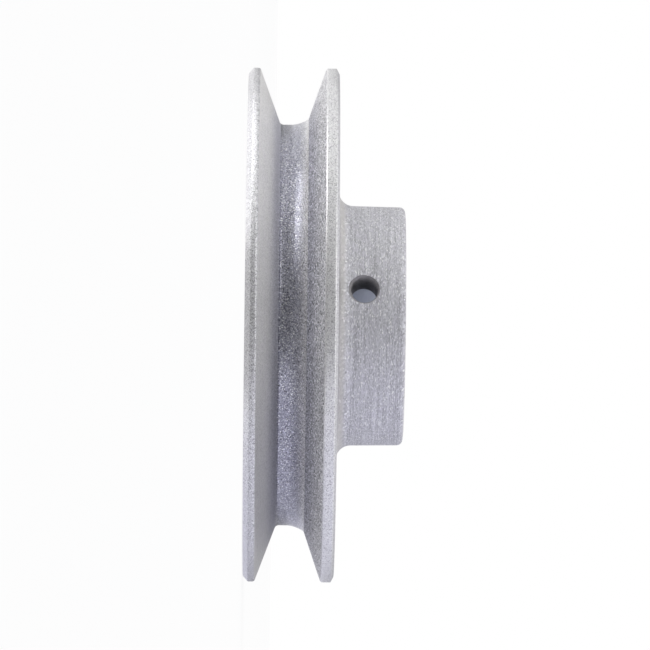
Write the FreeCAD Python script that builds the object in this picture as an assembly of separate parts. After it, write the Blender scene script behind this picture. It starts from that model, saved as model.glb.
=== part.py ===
import FreeCAD
import Part
import math
import os

# Single-groove V-belt pulley for an electric motor, cast in aluminium and turned all over.
# Millimetres. The bore runs along Z, the flat back face of the rim lies on Z = 0 and the hub
# points to +Z. The grub-screw hole, and the keyway under it, are on the -Y side.

# Rim
rim_diameter = 100.0
back_land_width = 2.2
front_land_width = 2.5
back_chamfer_width = 0.95
back_chamfer_depth = 1.1
front_chamfer_width = 0.55
front_chamfer_depth = 1.1
lip_chamfer = 0.45

# Groove for a 13 mm wide V belt. Its front flank is the steeper one, and at its foot the floor
# curves up in a sweep that meets the flank at a blunt corner.
groove_top_width = 12.9
groove_depth = 11.0
back_flank_angle = 20.3
front_flank_angle = 19.0
back_root_round = 0.7
floor_flat_width = 2.1
sweep_end_angle = 38.5

# Hub, which tapers away from the front face
front_face_draft = 0.5
hub_projection = 13.1
hub_end_diameter = 46.3
hub_draft = 0.9
hub_root_round = 2.8
hub_end_round = 1.1

# Bore and keyway, for a 24 mm motor shaft with an 8 mm key
bore_diameter = 24.0
bore_chamfer = 0.8
keyway_width = 8.0
keyway_depth = 3.3
keyway_corner_round = 0.25

# Tapped hole of the grub screw that presses on the key
screw_wall_diameter = 5.5
screw_mouth_diameter = 6.0
screw_from_rim = 5.1

# How far a cutter reaches past the face that it opens
cutter_overrun = 2.0

# Sizes that follow from those above
rim_radius = rim_diameter / 2
floor_radius = rim_radius - groove_depth
bore_radius = bore_diameter / 2
hub_end_radius = hub_end_diameter / 2
rim_width = back_land_width + groove_top_width + front_land_width
overall_length = rim_width + hub_projection
keyway_floor = bore_radius + keyway_depth
screw_height = rim_width + screw_from_rim
coincidence = 1e-6
origin = FreeCAD.Vector(0, 0, 0)
along_bore = FreeCAD.Vector(0, 0, 1)
towards_screw = FreeCAD.Vector(0, -1, 0)


def slope(angle):
    return math.tan(math.radians(angle))


def hub_radius_at(height):
    """The hub's outside radius at a height above the back face."""
    return hub_end_radius + (overall_length - height) * slope(hub_draft)


def groove_corners():
    """Corners of the belt groove, from its back lip to its front lip."""
    back_lip = back_land_width
    front_lip = back_land_width + groove_top_width
    back_root = back_lip + groove_depth * slope(back_flank_angle)
    front_root = front_lip - groove_depth * slope(front_flank_angle)
    # The sweep leaves the floor at a tangent, and its radius is the one that reaches the flank at
    # the stated angle. It is the round of a corner between the floor and the sweep's end tangent.
    sweep_start = back_root + floor_flat_width
    turn = math.radians(sweep_end_angle)
    rise_share = 1 - math.cos(turn)
    sweep_radius = (front_root - sweep_start) / (math.sin(turn) - rise_share * slope(front_flank_angle))
    blunt_corner_rise = sweep_radius * rise_share
    return [
        (rim_radius, back_lip - lip_chamfer, 0),
        (rim_radius - lip_chamfer, back_lip + lip_chamfer * slope(back_flank_angle), 0),
        (floor_radius, back_root, back_root_round),
        (floor_radius, sweep_start + sweep_radius * math.tan(turn / 2), sweep_radius),
        (floor_radius + blunt_corner_rise, sweep_start + sweep_radius * math.sin(turn), 0),
        (rim_radius - lip_chamfer, front_lip - lip_chamfer * slope(front_flank_angle), 0),
        (rim_radius, front_lip + lip_chamfer, 0),
    ]


def section_corners():
    """Corners of the half section as (radius, height, round), in order from the bore's back end."""
    hub_root_radius = hub_radius_at(rim_width)
    face_rise = (rim_radius - hub_root_radius) * slope(front_face_draft)
    back = [
        (bore_radius, bore_chamfer, 0),
        (bore_radius + bore_chamfer, 0, 0),
        (rim_radius - back_chamfer_depth, 0, 0),
        (rim_radius, back_chamfer_width, 0),
    ]
    front = [
        (rim_radius, rim_width - front_chamfer_width, 0),
        (rim_radius - front_chamfer_depth, rim_width, 0),
        (hub_root_radius, rim_width + face_rise, hub_root_round),
        (hub_end_radius, overall_length, hub_end_round),
        (bore_radius + bore_chamfer, overall_length, 0),
        (bore_radius, overall_length - bore_chamfer, 0),
    ]
    return back + groove_corners() + front


def rounded_wire(corners):
    """A closed wire in the XZ plane with a tangent arc at each corner that has a round."""
    points = [FreeCAD.Vector(radius, 0, height) for radius, height, _ in corners]
    starts = []
    arcs = []
    ends = []
    for i, (_, _, corner_round) in enumerate(corners):
        to_last = (points[i - 1] - points[i]).normalize()
        to_next = (points[(i + 1) % len(points)] - points[i]).normalize()
        half_angle = to_last.getAngle(to_next) / 2
        reach = corner_round / math.tan(half_angle)
        starts.append(points[i] + to_last * reach)
        ends.append(points[i] + to_next * reach)
        arc = None
        if corner_round:
            inward = (to_last + to_next).normalize()
            middle = points[i] + inward * (corner_round / math.sin(half_angle) - corner_round)
            arc = Part.Arc(starts[i], middle, ends[i]).toShape()
        arcs.append(arc)
    edges = []
    for i, arc in enumerate(arcs):
        if arc:
            edges.append(arc)
        next_start = starts[(i + 1) % len(starts)]
        if ends[i].distanceToPoint(next_start) > coincidence:
            edges.append(Part.LineSegment(ends[i], next_start).toShape())
    return Part.Wire(edges)


def turned_blank():
    """Everything that is turned: rim, groove, solid web, tapered hub and chamfered bore."""
    section = Part.Face(rounded_wire(section_corners()))
    return section.revolve(origin, along_bore, 360)


def keyway_cutter():
    """A slot along the whole bore on the grub screw's side, with small rounds at its floor."""
    start = FreeCAD.Vector(-keyway_width / 2, -keyway_floor, -cutter_overrun)
    slot = Part.makeBox(keyway_width, keyway_floor, overall_length + 2 * cutter_overrun, start)
    floor_edges = [
        edge
        for edge in slot.Edges
        if edge.BoundBox.YMax < coincidence - keyway_floor and edge.BoundBox.ZLength > overall_length
    ]
    return slot.makeFillet(keyway_corner_round, floor_edges)


def screw_hole_cutter():
    """The grub screw's hole, from inside the bore out through the hub, with a countersunk mouth."""
    hole_radius = screw_wall_diameter / 2
    mouth_radius = screw_mouth_diameter / 2
    hub_surface = hub_radius_at(screw_height)
    centre = FreeCAD.Vector(0, 0, screw_height)
    hole = Part.makeCylinder(hole_radius, hub_surface + cutter_overrun, centre, towards_screw)
    sink_depth = mouth_radius - hole_radius
    sink_start = centre + towards_screw * (hub_surface - sink_depth)
    sink_length = sink_depth + cutter_overrun
    sink = Part.makeCone(hole_radius, hole_radius + sink_length, sink_length, sink_start, towards_screw)
    return hole.fuse(sink)


def pulley():
    return turned_blank().cut(keyway_cutter()).cut(screw_hole_cutter())


os.makedirs("parts", exist_ok=True)
solid = pulley().Solids[0]
solid.exportStep("parts/pulley.step")
print("pulley: volume", round(solid.Volume, 1), "mm3, faces", len(solid.Faces), "valid", solid.isValid())
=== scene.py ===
# Looks of the motor pulley: one turned aluminium casting, standing on its back face.
import math

import bmesh
import bpy
from mathutils import Matrix, Vector


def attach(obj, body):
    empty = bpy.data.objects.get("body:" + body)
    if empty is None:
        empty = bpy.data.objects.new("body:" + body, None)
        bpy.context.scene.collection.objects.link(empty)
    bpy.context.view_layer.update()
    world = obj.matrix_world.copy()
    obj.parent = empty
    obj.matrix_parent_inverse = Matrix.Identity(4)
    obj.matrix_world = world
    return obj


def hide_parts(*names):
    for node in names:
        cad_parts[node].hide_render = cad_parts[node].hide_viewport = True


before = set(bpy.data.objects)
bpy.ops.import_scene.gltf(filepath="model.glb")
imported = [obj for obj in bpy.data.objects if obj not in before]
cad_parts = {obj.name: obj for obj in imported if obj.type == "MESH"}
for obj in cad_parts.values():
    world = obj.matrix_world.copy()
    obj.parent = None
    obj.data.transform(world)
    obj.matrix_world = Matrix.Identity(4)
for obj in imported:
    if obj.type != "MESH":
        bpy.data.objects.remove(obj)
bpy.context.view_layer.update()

millimetre = 0.001
fullTurn = 2 * math.pi
print("frame loaded:", sorted(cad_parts))


# Shader maths: a Wire holds a socket, and arithmetic on it adds Math nodes
class Wire:
    def __init__(self, tree, socket=None):
        self.tree = tree
        self.socket = socket

    def node(self, kind, settings=None, inputs=None, output=0):
        made = self.tree.nodes.new(kind)
        for name, value in (settings or {}).items():
            setattr(made, name, value)
        for name, value in (inputs or {}).items():
            if isinstance(value, Wire):
                self.tree.links.new(value.socket, made.inputs[name])
            else:
                made.inputs[name].default_value = value
        return Wire(self.tree, made.outputs[output])

    def maths(self, operation, first, second=0.0, clamp=False):
        settings = {"operation": operation, "use_clamp": clamp}
        return self.node("ShaderNodeMath", settings, {0: first, 1: second})

    def __add__(self, other):
        return self.maths("ADD", self, other)

    def __radd__(self, other):
        return self.maths("ADD", other, self)

    def __sub__(self, other):
        return self.maths("SUBTRACT", self, other)

    def __rsub__(self, other):
        return self.maths("SUBTRACT", other, self)

    def __mul__(self, other):
        return self.maths("MULTIPLY", self, other)

    def __rmul__(self, other):
        return self.maths("MULTIPLY", other, self)

    def __truediv__(self, other):
        return self.maths("DIVIDE", self, other)

    def __pow__(self, other):
        return self.maths("POWER", self, other)

    def clamped(self):
        return self.maths("ADD", self, 0.0, clamp=True)

    def between(self, low, high):  # 0 below low, 1 above high
        settings = {"interpolation_type": "SMOOTHSTEP"}
        return self.node("ShaderNodeMapRange", settings, {0: self, 1: low, 2: high})

    def mix(self, first, second):  # self is the factor, between two colours
        settings = {"data_type": "RGBA"}
        return self.node("ShaderNodeMix", settings, {0: self, 6: first, 7: second}, output=2)


def rgb(red, green, blue):
    return (red, green, blue, 1.0)


# Bare aluminium, one finish for each zone of the surface; the two colours and the two
# strengths are those at the smaller and at the larger of the two radii in "blend". Some colours are
# painted
# light: painted shade deep in the groove and in the tapped hole, painted highlights on the front land, on
# the back chamfer and on the groove's sweep
finishes = {
    "rim": {
        "inner": rgb(0.62, 0.62, 0.64), "outer": rgb(0.72, 0.72, 0.74), "blend": (49.70, 49.85),
        "grain": 1.00, "grainSize": 0.11, "grainStretch": 1.0,
        "innerGrain": 0.5, "outerGrain": 1.0, "sparkle": 0.90, "pits": 0.3,
        "lines": 0.06, "lineBump": 0.003, "lineWidth": 0.22, "lineLength": 14.0,
        "roughness": 0.44, "roughnessSpread": 0.10, "metallic": 1.0, "specular": 0.5,
    },
    # painted highlight: the front land's top ("outer") is painted much lighter than the same land in
    # "rim"
    "frontLand": {
        "inner": rgb(0.62, 0.62, 0.64), "outer": rgb(0.94, 0.94, 0.96), "blend": (49.70, 49.85),
        "grain": 1.00, "grainSize": 0.11, "grainStretch": 1.0,
        "innerGrain": 0.5, "outerGrain": 1.0, "sparkle": 1.20, "pits": 0.3,
        "lines": 0.06, "lineBump": 0.003, "lineWidth": 0.22, "lineLength": 14.0,
        "roughness": 0.46, "roughnessSpread": 0.10, "metallic": 1.0, "specular": 0.5,
    },
    # painted highlight: the back chamfer is painted lighter than the front chamfer, which is cut the same
    # way
    "backEdgePaintedHighlight": {
        "inner": rgb(0.78, 0.78, 0.80), "outer": rgb(0.78, 0.78, 0.80), "blend": (49.0, 49.8),
        "grain": 0.70, "grainSize": 0.14, "grainStretch": 1.0,
        "innerGrain": 0.8, "outerGrain": 1.0, "sparkle": 0.50, "pits": 0.5,
        "lines": 0.10, "lineBump": 0.004, "lineWidth": 0.22, "lineLength": 14.0,
        "roughness": 0.45, "roughnessSpread": 0.10, "metallic": 1.0, "specular": 0.5,
    },
    # painted shade and painted highlight: the groove's flat floor ("inner") is painted dark and blue, its
    # sweep ("outer") is painted light for the bright streak
    "floor": {
        "inner": rgb(0.362, 0.364, 0.425), "outer": rgb(0.88, 0.88, 0.89), "blend": (39.15, 40.4),
        "grain": 0.80, "grainSize": 0.135, "grainStretch": 1.0,
        "innerGrain": 1.1, "outerGrain": 1.5, "sparkle": 2.20, "pits": 0.3,
        "lines": 0.06, "lineBump": 0.003, "lineWidth": 0.22, "lineLength": 14.0,
        "roughness": 0.30, "roughnessSpread": 0.08, "metallic": 1.0, "specular": 0.5,
    },
    # painted shade: the front flank is painted darker and bluer towards the groove's root
    "frontWallPaintedShade": {
        "inner": rgb(0.62, 0.62, 0.675), "outer": rgb(0.74, 0.74, 0.76), "blend": (41.0, 48.0),
        "grain": 1.00, "grainSize": 0.28, "grainStretch": 0.85,
        "innerGrain": 1.0, "outerGrain": 0.9, "sparkle": 2.30, "pits": 0.5,
        "lines": 0.06, "lineBump": 0.003, "lineWidth": 0.22, "lineLength": 14.0,
        "roughness": 0.42, "roughnessSpread": 0.08, "metallic": 0.4, "specular": 0.15,
    },
    # painted shade: the back flank is painted darker and bluer towards the groove's root
    "backWallPaintedShade": {
        "inner": rgb(0.555, 0.555, 0.595), "outer": rgb(0.80, 0.795, 0.785), "blend": (39.5, 45.0),
        "grain": 0.40, "grainSize": 0.14, "grainStretch": 1.0,
        "innerGrain": 1.8, "outerGrain": 1.0, "sparkle": 0.15, "pits": 0.4,
        "lines": 0.05, "lineBump": 0.002, "lineWidth": 0.25, "lineLength": 20.0,
        "roughness": 0.40, "roughnessSpread": 0.05, "metallic": 0.40, "specular": 0.15,
    },
    "hub": {
        "inner": rgb(0.71, 0.71, 0.74), "outer": rgb(0.71, 0.70, 0.69), "blend": (23.4, 24.2),
        "grain": 0.36, "grainSize": 0.12, "grainStretch": 3.0,
        "innerGrain": 1.0, "outerGrain": 0.4, "sparkle": 0.52, "pits": 0.35,
        "lines": 0.34, "lineBump": 0.005, "lineWidth": 0.26, "lineLength": 14.0,
        "roughness": 0.66, "roughnessSpread": 0.06, "metallic": 1.0, "specular": 0.5,
    },
    "bore": {
        "inner": rgb(0.65, 0.675, 0.73), "outer": rgb(0.65, 0.675, 0.73), "blend": (12.0, 15.0),
        "grain": 0.04, "grainSize": 0.30, "grainStretch": 3.0,
        "innerGrain": 1.0, "outerGrain": 1.0, "sparkle": 0.0, "pits": 0.5,
        "lines": 0.05, "lineBump": 0.003, "lineWidth": 0.35, "lineLength": 30.0,
        "roughness": 0.34, "roughnessSpread": 0.04, "metallic": 1.0, "specular": 0.5,
    },
    # painted shade: the hole's wall is painted dark all along, darkest deep inside the hole
    "tappedHolePaintedShade": {
        "inner": rgb(0.24, 0.24, 0.26), "outer": rgb(0.44, 0.43, 0.44), "blend": (18.5, 23.2),
        "grain": 0.06, "grainSize": 0.25, "grainStretch": 1.0,
        "innerGrain": 1.0, "outerGrain": 1.0, "sparkle": 0.0, "pits": 0.5,
        "lines": 0.05, "lineBump": 0.002, "lineWidth": 0.35, "lineLength": 10.0,
        "roughness": 0.50, "roughnessSpread": 0.05, "metallic": 0.7, "specular": 0.3,
    },
    "face": {
        "inner": rgb(0.62, 0.62, 0.63), "outer": rgb(0.66, 0.66, 0.67), "blend": (23.0, 30.0),
        "grain": 0.20, "grainSize": 0.16, "grainStretch": 3.0,
        "innerGrain": 1.0, "outerGrain": 1.0, "sparkle": 0.10, "pits": 0.5,
        "lines": 0.14, "lineBump": 0.006, "lineWidth": 0.30, "lineLength": 20.0,
        "roughness": 0.38, "roughnessSpread": 0.06, "metallic": 0.9, "specular": 0.5,
    },
}
# The patterns that all finishes share: which cells are glints and which are pits, the scale of the
# finer noise inside the cells, and broad blotches and cooler patches over the whole casting
pattern = {
    "glints": (0.86, 0.98), "pits": (0.80, 0.98), "fineScale": 1.8,
    "blotchScale": 120.0, "blotch": 0.10, "patchScale": 550.0, "patchEdges": (0.40, 0.65),
    "coolTint": (1.0, 0.99, 1.01),
}


def aluminium(name):
    choice = finishes[name]
    material = bpy.data.materials.new("aluminium_" + name)
    material.use_nodes = True
    tree = material.node_tree
    tree.nodes.clear()
    w = Wire(tree)
    place = w.node("ShaderNodeTexCoord", output="Object")

    # distance from the axis, and from that a coordinate that is the same all along a turned line
    x, y, z = [w.node("ShaderNodeSeparateXYZ", inputs={0: place}, output=axis) for axis in "XYZ"]
    radius = (x * x + y * y) ** 0.5
    low, high = choice["blend"]
    outer = radius.between(low * millimetre, high * millimetre)
    across = (radius + z) / (choice["lineWidth"] * millimetre)
    stretch = 1 / (choice["lineLength"] * millimetre)
    along = w.node("ShaderNodeCombineXYZ", inputs={0: x * stretch, 1: y * stretch, 2: across})
    lines = w.node("ShaderNodeTexNoise", {"noise_dimensions": "3D"},
                   {"Vector": along, "Scale": 1.0, "Detail": 2.0, "Roughness": 0.6})

    # the casting's grain: cells of random brightness, a few of them glints or pits, over finer noise
    grainScale = 1 / (choice["grainSize"] * millimetre)
    squeeze = grainScale / choice["grainStretch"]
    grainPlace = w.node("ShaderNodeCombineXYZ",
                        inputs={0: x * squeeze, 1: y * squeeze, 2: (radius + z) * grainScale})
    cells = w.node("ShaderNodeTexVoronoi", {"feature": "F1"},
                   {"Vector": grainPlace, "Scale": 1.0}, output="Color")
    cellTone, glint, pit = [w.node("ShaderNodeSeparateColor", inputs={0: cells}, output=part)
                            for part in ("Red", "Green", "Blue")]
    glint = glint.between(*pattern["glints"])
    pit = pit.between(*pattern["pits"])
    grain = w.node("ShaderNodeTexNoise", {"noise_dimensions": "3D"},
                   {"Vector": grainPlace, "Scale": pattern["fineScale"], "Detail": 1.0, "Roughness": 0.5})
    blotch = w.node("ShaderNodeTexNoise", {"noise_dimensions": "3D"},
                    {"Vector": place, "Scale": pattern["blotchScale"], "Detail": 3.0, "Roughness": 0.5})
    blotch = (blotch - 0.5) * pattern["blotch"]

    strength = choice["innerGrain"] + outer * (choice["outerGrain"] - choice["innerGrain"])
    speckle = (cellTone - 0.5) * choice["grain"] + (grain - 0.5) * choice["grain"] * 0.5
    speckle = speckle + (glint - pit * choice["pits"]) * choice["sparkle"]
    tone = 1 + (speckle + (lines - 0.5) * choice["lines"] * 2) * strength + blotch
    base = outer.mix(choice["inner"], choice["outer"])
    patches = w.node("ShaderNodeTexNoise", {"noise_dimensions": "3D"},
                     {"Vector": place, "Scale": pattern["patchScale"], "Detail": 4.0, "Roughness": 0.7})
    cooler = w.node("ShaderNodeVectorMath", {"operation": "MULTIPLY"}, {0: base, 1: pattern["coolTint"]})
    base = patches.between(*pattern["patchEdges"]).mix(base, cooler)
    colour = w.node("ShaderNodeVectorMath", {"operation": "SCALE"}, {0: base, "Scale": tone})
    roughness = choice["roughness"] + (grain - 0.5) * choice["roughnessSpread"] * 2 + blotch
    height = lines * strength * choice["lineBump"]
    bump = w.node("ShaderNodeBump", inputs={"Strength": 1.0, "Distance": millimetre, "Height": height})

    shader = tree.nodes.new("ShaderNodeBsdfPrincipled")
    shader.inputs["Metallic"].default_value = choice["metallic"]
    shader.inputs["Specular IOR Level"].default_value = choice["specular"]
    tree.links.new(colour.socket, shader.inputs["Base Color"])
    tree.links.new(roughness.socket, shader.inputs["Roughness"])
    tree.links.new(bump.socket, shader.inputs["Normal"])
    output = tree.nodes.new("ShaderNodeOutputMaterial")
    tree.links.new(shader.outputs[0], output.inputs["Surface"])
    return material


# The turned body
body = {
    "rimDiameter": 100.0, "backLand": 2.2, "frontLand": 2.5,
    "backChamferWidth": 0.95, "backChamferDepth": 1.1,
    "frontChamferWidth": 0.55, "frontChamferDepth": 1.1,
    "chamferRound": 0.25, "lipRound": 0.55,
    "grooveWidth": 12.9, "grooveDepth": 11.0, "backFlank": 20.3, "frontFlank": 19.0,
    "backRootRound": 0.8, "floorFlat": 2.1, "sweepEnd": 38.5,
    "frontFaceDraft": 0.5, "hubProjection": 13.1, "hubEndDiameter": 46.3, "hubDraft": 0.9,
    "hubRootRound": 2.8, "hubEndRound": 1.1,
    "boreDiameter": 24.0, "boreChamfer": 0.8, "edgeBreak": 0.08,
    "segments": 288, "roundSegments": 5, "wideRound": 2.0, "wideSegments": 15,
    "sectionWeld": 0.002, "meshWeld": 0.001, "sharpAngle": 28,
}


def slope(angle):
    return math.tan(math.radians(angle))


def rimWidth():
    return body["backLand"] + body["grooveWidth"] + body["frontLand"]


def sectionCorners():
    b = body
    rim = b["rimDiameter"] / 2
    floor = rim - b["grooveDepth"]
    width = rimWidth()
    length = width + b["hubProjection"]
    hubEnd = b["hubEndDiameter"] / 2
    hubRoot = hubEnd + b["hubProjection"] * slope(b["hubDraft"])
    bore = b["boreDiameter"] / 2
    backLip = b["backLand"]
    frontLip = backLip + b["grooveWidth"]
    backRoot = backLip + b["grooveDepth"] * slope(b["backFlank"])
    frontRoot = frontLip - b["grooveDepth"] * slope(b["frontFlank"])
    sweepStart = backRoot + b["floorFlat"]
    turn = math.radians(b["sweepEnd"])
    rise = 1 - math.cos(turn)
    sweep = (frontRoot - sweepStart) / (math.sin(turn) - rise * slope(b["frontFlank"]))
    # (radius, height, round) from the bore's back end, round the rim, to the bore's front end
    return [
        (bore, b["boreChamfer"], b["edgeBreak"]),
        (bore + b["boreChamfer"], 0, b["edgeBreak"]),
        (rim - b["backChamferDepth"], 0, b["chamferRound"]),
        (rim, b["backChamferWidth"], b["chamferRound"]),
        (rim, backLip, b["lipRound"]),
        (floor, backRoot, b["backRootRound"]),
        (floor, sweepStart + sweep * math.tan(turn / 2), sweep),
        (floor + sweep * rise, sweepStart + sweep * math.sin(turn), 0),
        (rim, frontLip, b["lipRound"]),
        (rim, width - b["frontChamferWidth"], b["chamferRound"]),
        (rim - b["frontChamferDepth"], width, b["chamferRound"]),
        (hubRoot, width + (rim - hubRoot) * slope(b["frontFaceDraft"]), b["hubRootRound"]),
        (hubEnd, length, b["hubEndRound"]),
        (bore + b["boreChamfer"], length, b["edgeBreak"]),
        (bore, length - b["boreChamfer"], b["edgeBreak"]),
    ]


def roundCorner(bm, vert, radius, segments):
    first, second = [edge.other_vert(vert).co - vert.co for edge in vert.link_edges]
    reach = radius / math.tan(first.angle(second) / 2)
    bmesh.ops.bevel(bm, geom=[vert], offset=reach, offset_type="OFFSET", affect="VERTICES",
                    segments=segments, profile=0.5, material=-1)


def turnedBlank():
    bm = bmesh.new()
    corners = sectionCorners()
    verts = [bm.verts.new((radius * millimetre, 0, height * millimetre)) for radius, height, _ in corners]
    section = bm.faces.new(verts)
    for vert, (_, _, cornerRound) in zip(verts, corners):
        if cornerRound:
            wide = cornerRound > body["wideRound"]
            segments = body["wideSegments"] if wide else body["roundSegments"]
            roundCorner(bm, vert, cornerRound * millimetre, segments)
    bmesh.ops.delete(bm, geom=bm.faces[:], context="FACES_ONLY")
    bmesh.ops.remove_doubles(bm, verts=bm.verts[:], dist=body["sectionWeld"] * millimetre)
    bmesh.ops.spin(bm, geom=bm.verts[:] + bm.edges[:], cent=(0, 0, 0), axis=(0, 0, 1), angle=fullTurn,
                   steps=body["segments"], use_merge=True)
    bmesh.ops.recalc_face_normals(bm, faces=bm.faces[:])
    return meshObject("pulley_body", bm)


def meshObject(name, bm):
    mesh = bpy.data.meshes.new(name)
    bm.to_mesh(mesh)
    bm.free()
    made = bpy.data.objects.new(name, mesh)
    bpy.context.scene.collection.objects.link(made)
    return made


# Cutters for the keyway and for the tapped hole of the grub screw
keyway = {"width": 8.0, "depth": 3.3, "floorRound": 0.25, "roundSegments": 3, "overrun": 2.0}
tap = {
    "height": 22.7, "coreDiameter": 5.1, "threadDiameter": 5.8, "pitch": 1.0, "mouthDiameter": 6.0,
    "lipReach": 0.05, "start": 12.0, "overrun": 2.0, "segments": 72, "rowsPerPitch": 10,
    "flankShare": 0.42, "flatTop": 1.15,
}


def keywayCutter():
    bm = bmesh.new()
    length = rimWidth() + body["hubProjection"]
    floor = body["boreDiameter"] / 2 + keyway["depth"]
    size = Vector((keyway["width"], floor, length + 2 * keyway["overrun"])) * millimetre
    middle = Vector((0, -floor / 2, length / 2)) * millimetre
    bmesh.ops.create_cube(bm, size=1.0)
    bmesh.ops.scale(bm, vec=size, verts=bm.verts[:])
    bmesh.ops.translate(bm, vec=middle, verts=bm.verts[:])
    below = [edge for edge in bm.edges if all(vert.co.y < middle.y for vert in edge.verts)]
    corners = [edge for edge in below if abs(edge.verts[0].co.z - edge.verts[1].co.z) > 0.5 * size.z]
    bmesh.ops.bevel(bm, geom=corners, offset=keyway["floorRound"] * millimetre, affect="EDGES",
                    segments=keyway["roundSegments"], profile=0.5, material=-1)
    return meshObject("keyway_cutter", bm)


def tapCutter():
    bm = bmesh.new()
    t = tap
    fromEnd = rimWidth() + body["hubProjection"] - t["height"]
    surface = body["hubEndDiameter"] / 2 + fromEnd * slope(body["hubDraft"])
    length = surface + t["overrun"] - t["start"]
    rows = round(length / t["pitch"] * t["rowsPerPitch"])
    bmesh.ops.create_circle(bm, cap_ends=False, radius=t["coreDiameter"] / 2, segments=t["segments"])
    edges = bm.edges[:]
    for _ in range(rows):
        grown = bmesh.ops.extrude_edge_only(bm, edges=edges)["geom"]
        edges = [item for item in grown if isinstance(item, bmesh.types.BMEdge)]
        verts = [item for item in grown if isinstance(item, bmesh.types.BMVert)]
        bmesh.ops.translate(bm, vec=(0, 0, length / rows), verts=verts)
    bmesh.ops.holes_fill(bm, edges=bm.edges[:], sides=0)
    core = t["coreDiameter"] / 2
    depth = t["threadDiameter"] / 2 - core
    for vert in bm.verts:
        turn = math.atan2(vert.co.y, vert.co.x) / fullTurn
        phase = (vert.co.z / t["pitch"] - turn) % 1
        wave = max(0.0, 1 - abs(phase - 0.5) / t["flankShare"])
        grooveRadius = core + depth * min(1.0, wave * t["flatTop"])
        sink = t["mouthDiameter"] / 2 - (surface - t["start"] - vert.co.z)
        radius = max(grooveRadius, min(sink, t["mouthDiameter"] / 2 + t["lipReach"]))
        vert.co.x, vert.co.y = radius * math.cos(turn * fullTurn), radius * math.sin(turn * fullTurn)
    place = Matrix.Translation((0, -t["start"], t["height"])) @ Matrix.Rotation(math.pi / 2, 4, "X")
    bmesh.ops.transform(bm, matrix=Matrix.Scale(millimetre, 4) @ place, verts=bm.verts[:])
    bmesh.ops.recalc_face_normals(bm, faces=bm.faces[:])
    return meshObject("tap_cutter", bm)


def cutAway(piece, cutters):
    for cutter in cutters:
        modifier = piece.modifiers.new(cutter.name, "BOOLEAN")
        modifier.operation = "DIFFERENCE"
        modifier.solver = "EXACT"
        modifier.object = cutter
    finished = bpy.data.meshes.new_from_object(piece.evaluated_get(bpy.context.evaluated_depsgraph_get()))
    piece.modifiers.clear()
    piece.data = finished
    for cutter in cutters:
        bpy.data.objects.remove(cutter)


# Where one finish ends and the next begins, in millimetres, and how squarely a face has to look
zones = {
    "slack": 0.05, "keywaySlack": 0.1, "keywayReach": 16.0, "keywayEnds": 0.5, "hubReach": 30.0,
    "faceEnd": 0.5, "grooveEnd": 0.25, "frontLandStart": 1.0,
    "flatFace": 0.95, "outsideHole": 0.9, "floorFacing": 0.7,
}


def finishName(centre, normal):  # the finish of a face, from its middle in millimetres and its normal
    b = body
    radius = math.hypot(centre.x, centre.y)
    outward = (normal.x * centre.x + normal.y * centre.y) / radius
    rim = b["rimDiameter"] / 2
    bore = b["boreDiameter"] / 2
    backRoot = b["backLand"] + b["grooveDepth"] * slope(b["backFlank"])
    frontLip = b["backLand"] + b["grooveWidth"]
    length = rimWidth() + b["hubProjection"]
    flat = abs(normal.z) > zones["flatFace"]
    inHole = math.hypot(centre.x, centre.z - tap["height"]) < tap["mouthDiameter"] / 2 and centre.y < 0
    inKeyway = (
        abs(centre.x) < keyway["width"] / 2 + zones["keywaySlack"]
        and -bore - keyway["depth"] - zones["keywaySlack"] < centre.y < 0
        and radius < zones["keywayReach"]
        and zones["keywayEnds"] < centre.z < length - zones["keywayEnds"]
    )
    if radius < bore + b["boreChamfer"] / 2:
        return "bore"
    if inHole and abs(normal.y) < zones["outsideHole"]:
        return "tappedHolePaintedShade"
    if inKeyway:
        return "bore"
    if centre.z > rimWidth() + zones["slack"] and radius < zones["hubReach"] and not flat:
        return "hub"
    if centre.z < b["backChamferWidth"] - zones["slack"] and radius > rim - b["backChamferDepth"]:
        return "backEdgePaintedHighlight"
    if flat and radius < rim - zones["faceEnd"]:
        return "face"
    if radius < rim - zones["grooveEnd"] and b["backLand"] < centre.z < frontLip:
        if centre.z < backRoot:
            return "backWallPaintedShade"
        return "floor" if outward > zones["floorFacing"] else "frontWallPaintedShade"
    return "frontLand" if centre.z > frontLip - zones["frontLandStart"] else "rim"


def finishSurfaces(piece):
    bm = bmesh.new()
    bm.from_mesh(piece.data)
    bmesh.ops.remove_doubles(bm, verts=bm.verts[:], dist=body["meshWeld"] * millimetre)
    names = list(finishes)
    for face in bm.faces:
        centre = face.calc_center_median() / millimetre
        face.material_index = names.index(finishName(centre, face.normal))
        face.smooth = True
    for edge in bm.edges:
        if len(edge.link_faces) == 2 and edge.calc_face_angle() > math.radians(body["sharpAngle"]):
            edge.smooth = False
    piece.data.materials.clear()
    for name in names:
        piece.data.materials.append(aluminium(name))
    bm.to_mesh(piece.data)
    bm.free()


pulley = turnedBlank()
print("body turned:", len(pulley.data.polygons), "faces")
cutAway(pulley, [keywayCutter(), tapCutter()])
print("keyway and tapped hole cut:", len(pulley.data.polygons), "faces")
finishSurfaces(pulley)
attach(pulley, "root")
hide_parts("pulley")
print("surfaces finished")

# The photograph's viewpoint: square to the bore, with the bore across the picture
view = {
    "distance": 1.15, "pixel": 0.1948 * millimetre, "pixelsAcross": 650,
    "holeAboveView": 17.6, "yaw": 0.4, "roll": 0.715, "aimHeight": 15.39 * millimetre,
    "aimAside": 0.1 * millimetre, "sensor": 36.0, "near": 0.01, "far": 20.0,
}


def viewAxes():
    turn = math.radians(view["holeAboveView"])
    towards = Vector((math.sin(turn), -math.cos(turn), 0))
    bore = Vector((0, 0, 1))
    return towards, towards.cross(bore), bore


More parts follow.
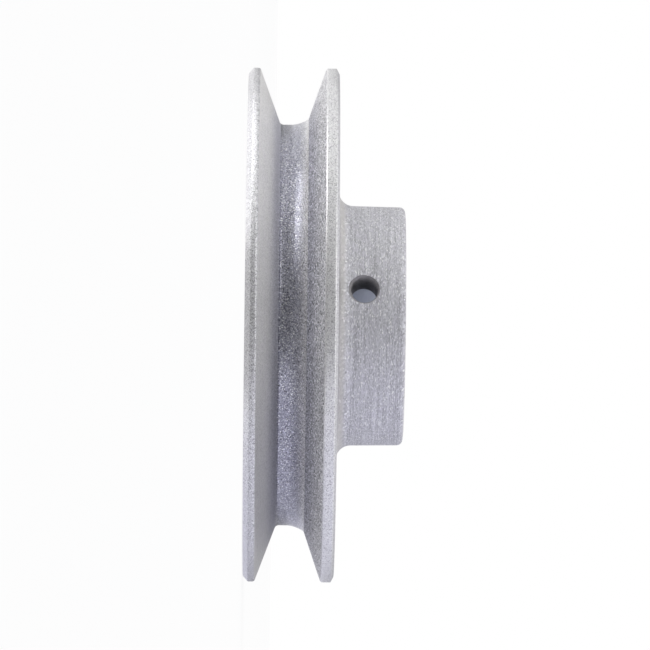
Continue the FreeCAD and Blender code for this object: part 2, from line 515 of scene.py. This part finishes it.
def photoCamera():
    towards, above, bore = viewAxes()
    roll = math.radians(view["roll"])
    yaw = math.radians(view["yaw"])
    back = towards * math.cos(yaw) - bore * math.sin(yaw)
    side = bore * math.cos(yaw) + towards * math.sin(yaw)
    right = side * math.cos(roll) + above * math.sin(roll)
    up = above * math.cos(roll) - side * math.sin(roll)
    aim = bore * view["aimHeight"] + above * view["aimAside"]
    turned = Matrix((right, up, back)).transposed().to_4x4()
    camera = bpy.data.objects.new("photo_camera", bpy.data.cameras.new("photo_camera"))
    camera.data.sensor_width = view["sensor"]
    camera.data.lens = view["sensor"] * view["distance"] / (view["pixelsAcross"] * view["pixel"])
    camera.data.clip_start = view["near"]
    camera.data.clip_end = view["far"]
    camera.matrix_world = Matrix.Translation(aim + back * view["distance"]) @ turned
    bpy.context.scene.collection.objects.link(camera)
    bpy.context.scene.camera = camera


# A pale floor, a white room and one soft lamp above. What the metal reflects of the floor and the
# room is dimmed in patches, above all on the side that the photograph was taken from. One ring of
# the floor is brightened there instead, and makes the bright streak in the groove
studio = {
    "floorSize": 6.0, "floorGap": 0.03 * millimetre, "floorColour": rgb(0.88, 0.88, 0.88),
    "floorGlow": 0.80, "floorWhite": 1.07,
    "background": rgb(1, 1, 1), "lowSideColour": rgb(0.89, 0.89, 1.0), "lowSideEdges": (0.0, 0.8),
    # each patch of the room: its change in brightness, the angle of its middle above the photograph's
    # side, how many degrees from there it begins and is full, and the same towards the bore's two
    # ends, as the sines of those angles
    "sky": [
        (-0.74, -3, (26, 4), (0.90, 0.60)),
        (-0.76, 38, (36, 14), (0.32, 0.08)),
        (0.12, 58, (30, 8), (0.90, 0.60)),
        (-0.14, -90, (90, 37), None),
        (-0.18, 95, (45, 15), None),
        (-0.60, 180, (62, 25), (0.60, 0.30)),
    ],
    # the same for the light that spreads from matt surfaces
    "softSky": [
        (-0.50, 1, (60, 7), (0.90, 0.60)),
        (-0.75, -80, (75, 25), None),
        (-0.10, 90, (55, 20), None),
    ],
    # the floor in rings, each taking over from the one before it between two distances from the
    # bore's axis, in millimetres
    "rings": [
        (0.0, 1.0, [
            (-0.40, 2, (24, 4), (0.90, 0.60)),
            (0.22, 38, (30, 8), None),
            (-0.15, -90, (90, 37), None),
        ]),
        (51.0, 53.0, [
            (-0.60, 5, (38, 12), (0.90, 0.60)),
            (2.00, 44, (30, 8), None),
            (-0.50, -90, (90, 37), None),
        ]),
        (59.0, 64.0, [
            (-0.74, 20, (46, 16), (0.90, 0.60)),
            (-0.40, 40, (32, 10), (0.45, 0.15)),
            (-0.20, -90, (90, 37), None),
        ]),
        (73.0, 80.0, [
            (-0.60, 0, (34, 12), (0.90, 0.60)),
            (-0.15, 60, (28, 8), None),
            (-0.20, -90, (90, 37), None),
        ]),
        (108.0, 125.0, [
            (-0.74, 20, (46, 16), (0.90, 0.60)),
            (-0.20, -90, (90, 37), None),
        ]),
    ],
    "lamp": {"towardsCamera": 0.45, "upThePicture": 1.0, "alongBore": 0.07, "size": 0.13, "power": 5.2},
}


def dot(w, first, second):
    settings = {"operation": "DOT_PRODUCT"}
    return w.node("ShaderNodeVectorMath", settings, {0: first, 1: second}, output="Value")


def roomColour(w, direction, camera):
    _, above, _ = viewAxes()
    low = dot(w, direction, -above).between(*studio["lowSideEdges"])
    return (low * (1 - camera)).mix(studio["background"], studio["lowSideColour"])


def roomLight(w, direction, patches):  # the room's strength in a direction from the object
    towards, above, bore = viewAxes()
    along = dot(w, direction, bore)
    square = 1 - (along * along) ** 0.5
    across = (1 - along * along) ** 0.5
    strength = 1.0
    for change, angle, edges, reach in patches:
        turn = math.radians(angle)
        middle = towards * math.cos(turn) + above * math.sin(turn)
        facing = dot(w, direction, middle) / across
        share = facing.between(*[math.cos(math.radians(edge)) for edge in edges])
        if reach:
            share = share * square.between(*[1 - end for end in reach])
        strength = strength * (1 + share * change)
    return strength


def paleFloor():
    bm = bmesh.new()
    bmesh.ops.create_grid(bm, x_segments=1, y_segments=1, size=studio["floorSize"] / 2)
    bmesh.ops.translate(bm, vec=(0, 0, -studio["floorGap"]), verts=bm.verts[:])
    floor = meshObject("studio_floor", bm)
    material = bpy.data.materials.new("studio_floor")
    material.use_nodes = True
    tree = material.node_tree
    tree.nodes.clear()
    w = Wire(tree)
    camera = w.node("ShaderNodeLightPath", output="Is Camera Ray")
    glossy = w.node("ShaderNodeLightPath", output="Is Glossy Ray")
    transmission = w.node("ShaderNodeLightPath", output="Is Transmission Ray")
    place = w.node("ShaderNodeTexCoord", output="Object")
    direction = w.node("ShaderNodeVectorMath", {"operation": "NORMALIZE"}, {0: place})
    distance = w.node("ShaderNodeVectorMath", {"operation": "LENGTH"}, {0: place}, output="Value")
    strength = 1.0
    for start, end, patches in studio["rings"]:
        beyond = distance.between(start * millimetre, end * millimetre)
        strength = strength + beyond * (roomLight(w, direction, patches) - strength)
    strength = camera * studio["floorWhite"] + (1 - camera) * strength
    colour = roomColour(w, direction, camera)
    matt = w.node("ShaderNodeBsdfDiffuse", inputs={"Color": studio["floorColour"]})
    colour = w.node("ShaderNodeVectorMath", {"operation": "SCALE"}, {0: colour, "Scale": strength})
    glow = w.node("ShaderNodeEmission", inputs={"Color": colour, "Strength": 1.0})
    share = (camera * studio["floorGlow"] + glossy + transmission).clamped()
    mixed = w.node("ShaderNodeMixShader", inputs={0: share, 1: matt, 2: glow})
    underside = w.node("ShaderNodeNewGeometry", output="Backfacing")
    clear = w.node("ShaderNodeBsdfTransparent")
    mixed = w.node("ShaderNodeMixShader", inputs={0: underside, 1: mixed, 2: clear})
    output = tree.nodes.new("ShaderNodeOutputMaterial")
    tree.links.new(mixed.socket, output.inputs["Surface"])
    floor.data.materials.append(material)


def whiteRoom():
    world = bpy.data.worlds.new("white_room")
    bpy.context.scene.world = world
    world.use_nodes = True
    tree = world.node_tree
    tree.nodes.clear()
    w = Wire(tree)
    camera = w.node("ShaderNodeLightPath", output="Is Camera Ray")
    diffuse = w.node("ShaderNodeLightPath", output="Is Diffuse Ray")
    direction = w.node("ShaderNodeTexCoord", output="Generated")
    seen = roomLight(w, direction, studio["sky"])
    soft = roomLight(w, direction, studio["softSky"])
    strength = camera + (1 - camera) * (seen + diffuse * (soft - seen))
    colour = roomColour(w, direction, camera)
    colour = w.node("ShaderNodeVectorMath", {"operation": "SCALE"}, {0: colour, "Scale": strength})
    mixed = w.node("ShaderNodeBackground", inputs={"Color": colour, "Strength": 1.0})
    output = tree.nodes.new("ShaderNodeOutputWorld")
    tree.links.new(mixed.socket, output.inputs["Surface"])


def topLamp():  # for matt surfaces alone, neither seen nor reflected
    towards, above, bore = viewAxes()
    choice = studio["lamp"]
    light = bpy.data.lights.new("top_lamp", "AREA")
    light.shape = "SQUARE"
    light.size = choice["size"]
    light.energy = choice["power"]
    lamp = bpy.data.objects.new("top_lamp", light)
    spot = (towards * choice["towardsCamera"] + above * choice["upThePicture"]
            + bore * choice["alongBore"])
    aim = bore * view["aimHeight"] - spot
    lamp.matrix_world = Matrix.Translation(spot) @ aim.to_track_quat("-Z", "Y").to_matrix().to_4x4()
    lamp.visible_camera = False
    lamp.visible_glossy = False
    bpy.context.scene.collection.objects.link(lamp)


photoCamera()
paleFloor()
whiteRoom()
topLamp()
bpy.context.scene.view_settings.view_transform = "Standard"
print("camera, floor, room and lamp placed")
